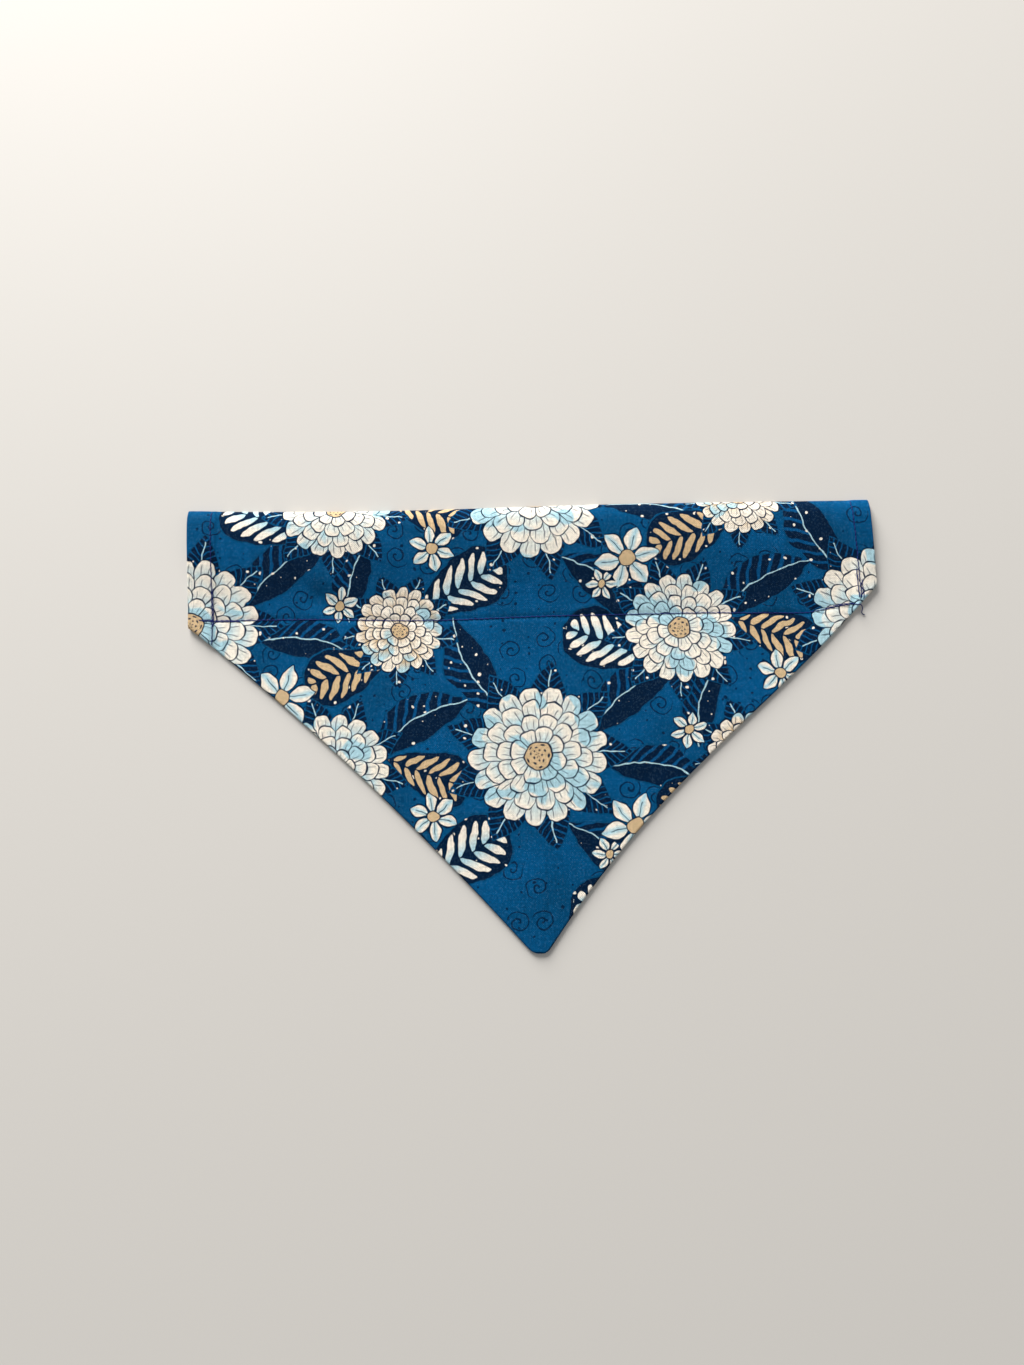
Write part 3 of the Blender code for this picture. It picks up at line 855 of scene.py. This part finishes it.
def cotton(name, wrong_side):
    """Printed quilting cotton: the print, a plain weave that varies its tone, embosses it and darkens it
    with painted shade between the yarns, and a matt surface. The wrong side shows the print faintly through
    undyed yarn."""
    material = bpy.data.materials.new(name)
    material.use_nodes = True
    tree = material.node_tree
    shader = tree.nodes["Principled BSDF"]
    map_node = tree.nodes.new("ShaderNodeUVMap")
    map_node.uv_map = "flat_cloth"
    place = Mark(map_node.outputs[0])
    if wrong_side:
        blot = noise(tree, place, WRONG_LUMP, detail=3.0).ramp(*WRONG_RAMP)
        colour = painted(WRONG_CREAM, WRONG_BLUE, blot)
    else:
        colour = printed(tree, place)
    across, up, _ = parted(tree, place)
    warp = (across * (math.pi / THREAD_PITCH)).made("SINE")
    weft = (up * (math.pi / THREAD_PITCH)).made("SINE")
    over = warp * weft
    crossing = abs(over).made("SQRT")
    lying = vectors(tree, "MULTIPLY", place, (STREAK_SQUEEZE, 1.0, 1.0))
    standing = vectors(tree, "MULTIPLY", place, (1.0, STREAK_SQUEEZE, 1.0))
    streaks = noise(tree, lying, STREAK_WIDTH) + noise(tree, standing, STREAK_WIDTH)
    cell_node = tree.nodes.new("ShaderNodeTexWhiteNoise")
    cell_node.noise_dimensions = "2D"
    wire(cell_node.inputs["Vector"], vectors(tree, "SNAP", place, (THREAD_PITCH, THREAD_PITCH, 1.0)))
    slubs = Mark(cell_node.outputs["Value"])
    # Painted shade between the yarns and painted light on one set of them, with the yarns' own uneven tone
    shade = crossing.scaled(*CROSSING_SHADE) + over * OVER_SHADE
    shade = shade + streaks.scaled(STREAK_SHADE, -STREAK_SHADE) + slubs.scaled(SLUB_SHADE, -0.5 * SLUB_SHADE)
    colour = painted(colour, AQUA, slubs.ramp(*BARE_YARN_RAMP) * BARE_YARN)
    shaded = tree.nodes.new("ShaderNodeMix")
    shaded.data_type = "RGBA"
    shaded.blend_type = "MULTIPLY"
    shaded.inputs[0].default_value = 1.0
    wire(shaded.inputs[6], colour)
    wire(shaded.inputs[7], joined(tree, shade, shade, shade))
    wire(shader.inputs["Base Color"], Mark(shaded.outputs[2]))
    bump = tree.nodes.new("ShaderNodeBump")
    bump.inputs["Distance"].default_value = WEAVE_DEPTH
    wire(bump.inputs["Height"], crossing + slubs * SLUB_HEIGHT)
    wire(shader.inputs["Normal"], Mark(bump.outputs[0]))
    shader.inputs["Roughness"].default_value = COTTON_ROUGHNESS
    shader.inputs["Specular IOR Level"].default_value = COTTON_SHINE
    return material


cloth_mesh.materials.append(cotton("printed_cotton", False))
cloth_mesh.materials.append(cotton("printed_cotton_wrong_side", True))
bandana = bpy.data.objects.new("bandana", cloth_mesh)
bpy.context.scene.collection.objects.link(bandana)
woven = bandana.modifiers.new("cloth thickness", "SOLIDIFY")
woven.thickness = CLOTH
woven.offset = -1.0
woven.use_even_offset = False
woven.material_offset = 1
woven.material_offset_rim = 1
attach(bandana, "root")
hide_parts("bandana_cloth")

# Seam thread. Navy polyester, lockstitched through all the layers in 2 mm stitches, so each row shows on
# the front and on the back. The rows are locked by a few stitches sewn back over them, and the last
# thread end is cut a little long.
STITCH = 2.0 * MM
THREAD = 0.19 * MM  # radius
SEWN_SLANT = 0.12  # a stitch lies a little across its row
SWAY = 0.05 * MM  # how far a stitch lies beside its row at most
SWAY_STEP = 1.7
SWAY_START = 5.0 / MM
RIDE = 0.75 * THREAD  # how high the centre of the thread lies over the cloth in a stitch's middle
DIVE = 1.9 * THREAD  # how much lower it lies at the stitch's ends
DIVE_POWER = 7
STITCH_RINGS = 7
THREAD_SIDES = 6
ROW_STEP = 0.5  # millimetres
END_STEPS = 4  # how finely the cut end is divided, and how often it is smoothed
END_SMOOTHINGS = 3
# A row that follows the channel seam: its two ends along X, and how far beside the seam it lies
CHANNEL_ROWS_SEWN = np.array([(-128.8, 127.2, 0.0), (-127.4, -112.5, 0.45), (116.0, 126.4, -0.45)]) * MM
# A row that follows a hem: which hem, its two ends in depth, and how far beside the hem's row it lies
HEM_ROWS_SEWN = [(LEFT_ROW, 1.9, 55.2, 0.0), (LEFT_ROW, 33.0, 48.5, 0.45), (RIGHT_ROW, 1.2, 40.6, 0.0),
                 (RIGHT_ROW, 28.6, 40.6, -0.95), (RIGHT_ROW, 33.0, 40.8, 0.8)]
# The cut end of thread: right of the middle, depth, height above the table
THREAD_END = np.array([(126.6, 42.6, 1.7), (127.4, 43.0, 2.2), (128.3, 42.9, 2.3),
                       (129.1, 43.6, 1.8), (129.4, 44.7, 1.2), (129.0, 45.7, 0.7),
                       (129.6, 46.5, 0.35), (130.4, 46.7, 0.25)]) * MM


def tubes(centres, radius):
    """Closed tubes of thread: rings of points round each centre line, square to its direction, with flat
    ends. Takes an array of tubes by rings by X, Y, Z and gives the points and the faces."""
    tube_count, ring_count = centres.shape[:2]
    direction = np.gradient(centres, axis=1)
    direction = direction / np.linalg.norm(direction, axis=2, keepdims=True)
    across = np.cross(direction, (0.0, 0.0, 1.0))
    across = across / np.linalg.norm(across, axis=2, keepdims=True)
    upright = np.cross(across, direction)
    turn = 2.0 * np.pi * np.arange(THREAD_SIDES) / THREAD_SIDES
    ring = np.cos(turn)[:, None] * across[:, :, None] + np.sin(turn)[:, None] * upright[:, :, None]
    points = centres[:, :, None] + radius * ring
    index = np.arange(tube_count * ring_count * THREAD_SIDES).reshape(tube_count, ring_count, THREAD_SIDES)
    beside = np.roll(index, -1, axis=2)
    walls = np.stack([index[:, :-1], index[:, 1:], beside[:, 1:], beside[:, :-1]], axis=3).reshape(-1, 4)
    ends = np.concatenate([index[:, 0], index[:, -1, ::-1]])
    return points.reshape(-1, 3), walls, ends


def stitch_centres(x, depth, height, outward):
    """Centre lines of the stitches along one row: each lies a little across the row, rides on the cloth in
    its middle and dives into it at both ends, by the seventh power of the distance from its middle. No
    stitch lies lower than the table."""
    travel = np.concatenate([[0.0], np.cumsum(np.hypot(np.diff(x), np.diff(depth)))])
    stitch_count = int(travel[-1] / STITCH)
    t = np.linspace(0.0, 1.0, STITCH_RINGS)
    place = (np.arange(stitch_count)[:, None] + t) * travel[-1] / stitch_count
    row_x, row_depth = np.interp(place, travel, x), np.interp(place, travel, depth)
    along_x, along_depth = (x[-1] - x[0]) / travel[-1], (depth[-1] - depth[0]) / travel[-1]
    sway = SWAY * np.sin(SWAY_STEP * np.arange(stitch_count) + SWAY_START * x[0])[:, None]
    beside = sway + outward * SEWN_SLANT * STITCH * (t - 0.5)
    row_x, row_depth = row_x - beside * along_depth, row_depth + beside * along_x
    lift = RIDE - DIVE * np.abs(2.0 * t - 1.0) ** DIVE_POWER
    z = np.maximum(height(row_x, row_depth) + outward * lift, THREAD)
    return np.stack([MIDDLE + row_x, FOLD_LINE - row_depth, z], axis=2)


row_ways = []
for first_x, last_x, shift in CHANNEL_ROWS_SEWN:
    way_x = np.arange(first_x, last_x, ROW_STEP * MM)
    row_ways.append((way_x, seam(way_x) + shift))
for (row_x, row_lean), first_depth, last_depth, shift in HEM_ROWS_SEWN:
    way_depth = np.arange(first_depth, last_depth, ROW_STEP) * MM
    row_ways.append((row_x + row_lean * way_depth + shift * MM, way_depth))
front_stitches = [stitch_centres(way_x, way_depth, front_height, 1.0) for way_x, way_depth in row_ways]
back_stitches = [stitch_centres(way_x, way_depth, back_height, -1.0) for way_x, way_depth in row_ways]
thread_parts = [tubes(np.concatenate(front_stitches + back_stitches), THREAD)]
end_line = np.column_stack([MIDDLE + THREAD_END[:, 0], FOLD_LINE - THREAD_END[:, 1], THREAD_END[:, 2]])
finer = np.linspace(0.0, len(end_line) - 1.0, END_STEPS * len(end_line))
end_line = np.column_stack([np.interp(finer, np.arange(len(end_line)), end_line[:, k]) for k in range(3)])
for _ in range(END_SMOOTHINGS):
    end_line[1:-1] = (end_line[:-2] + 2.0 * end_line[1:-1] + end_line[2:]) / 4.0
thread_parts.append(tubes(end_line[None], THREAD))

first_part_size = len(thread_parts[0][0])
thread_points = np.concatenate([part[0] for part in thread_parts])
thread_walls = np.concatenate([thread_parts[0][1], thread_parts[1][1] + first_part_size])
thread_ends = np.concatenate([thread_parts[0][2], thread_parts[1][2] + first_part_size])
thread_mesh = bpy.data.meshes.new("seam_thread")
thread_mesh.from_pydata(thread_points.tolist(), [], thread_walls.tolist() + thread_ends.tolist())
thread_mesh.shade_smooth()

# Look of the thread: a twisted yarn with a slight shine, and painted shade in the grooves between its plies
THREAD_NAVY = ink(4, 26, 108)
THREAD_PLY_PAINTED_SHADE = ink(2, 10, 58)
TWIST = 0.5 * MM  # from ply to ply
TWIST_WAY = (1.0, 0.8, 0.5)
TWIST_DEPTH = 0.05 * MM
THREAD_ROUGHNESS = 0.6
THREAD_SHINE = 0.25
thread_paint = bpy.data.materials.new("navy_thread")
thread_paint.use_nodes = True
thread_tree = thread_paint.node_tree
thread_shader = thread_tree.nodes["Principled BSDF"]
thread_place = Mark(thread_tree.nodes.new("ShaderNodeTexCoord").outputs["Object"])
ply_way = tuple(component * math.pi / TWIST for component in TWIST_WAY)
ply = abs(dotted(thread_tree, thread_place, ply_way).made("SINE"))
# Painted shade: the thread's colour is darker in the grooves between its plies
wire(thread_shader.inputs["Base Color"], painted(THREAD_PLY_PAINTED_SHADE, THREAD_NAVY, ply))
ply_bump = thread_tree.nodes.new("ShaderNodeBump")
ply_bump.inputs["Distance"].default_value = TWIST_DEPTH
wire(ply_bump.inputs["Height"], ply)
wire(thread_shader.inputs["Normal"], Mark(ply_bump.outputs[0]))
thread_shader.inputs["Roughness"].default_value = THREAD_ROUGHNESS
thread_shader.inputs["Specular IOR Level"].default_value = THREAD_SHINE
thread_mesh.materials.append(thread_paint)
seam_thread = bpy.data.objects.new("seam_thread", thread_mesh)
bpy.context.scene.collection.objects.link(seam_thread)
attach(seam_thread, "root")
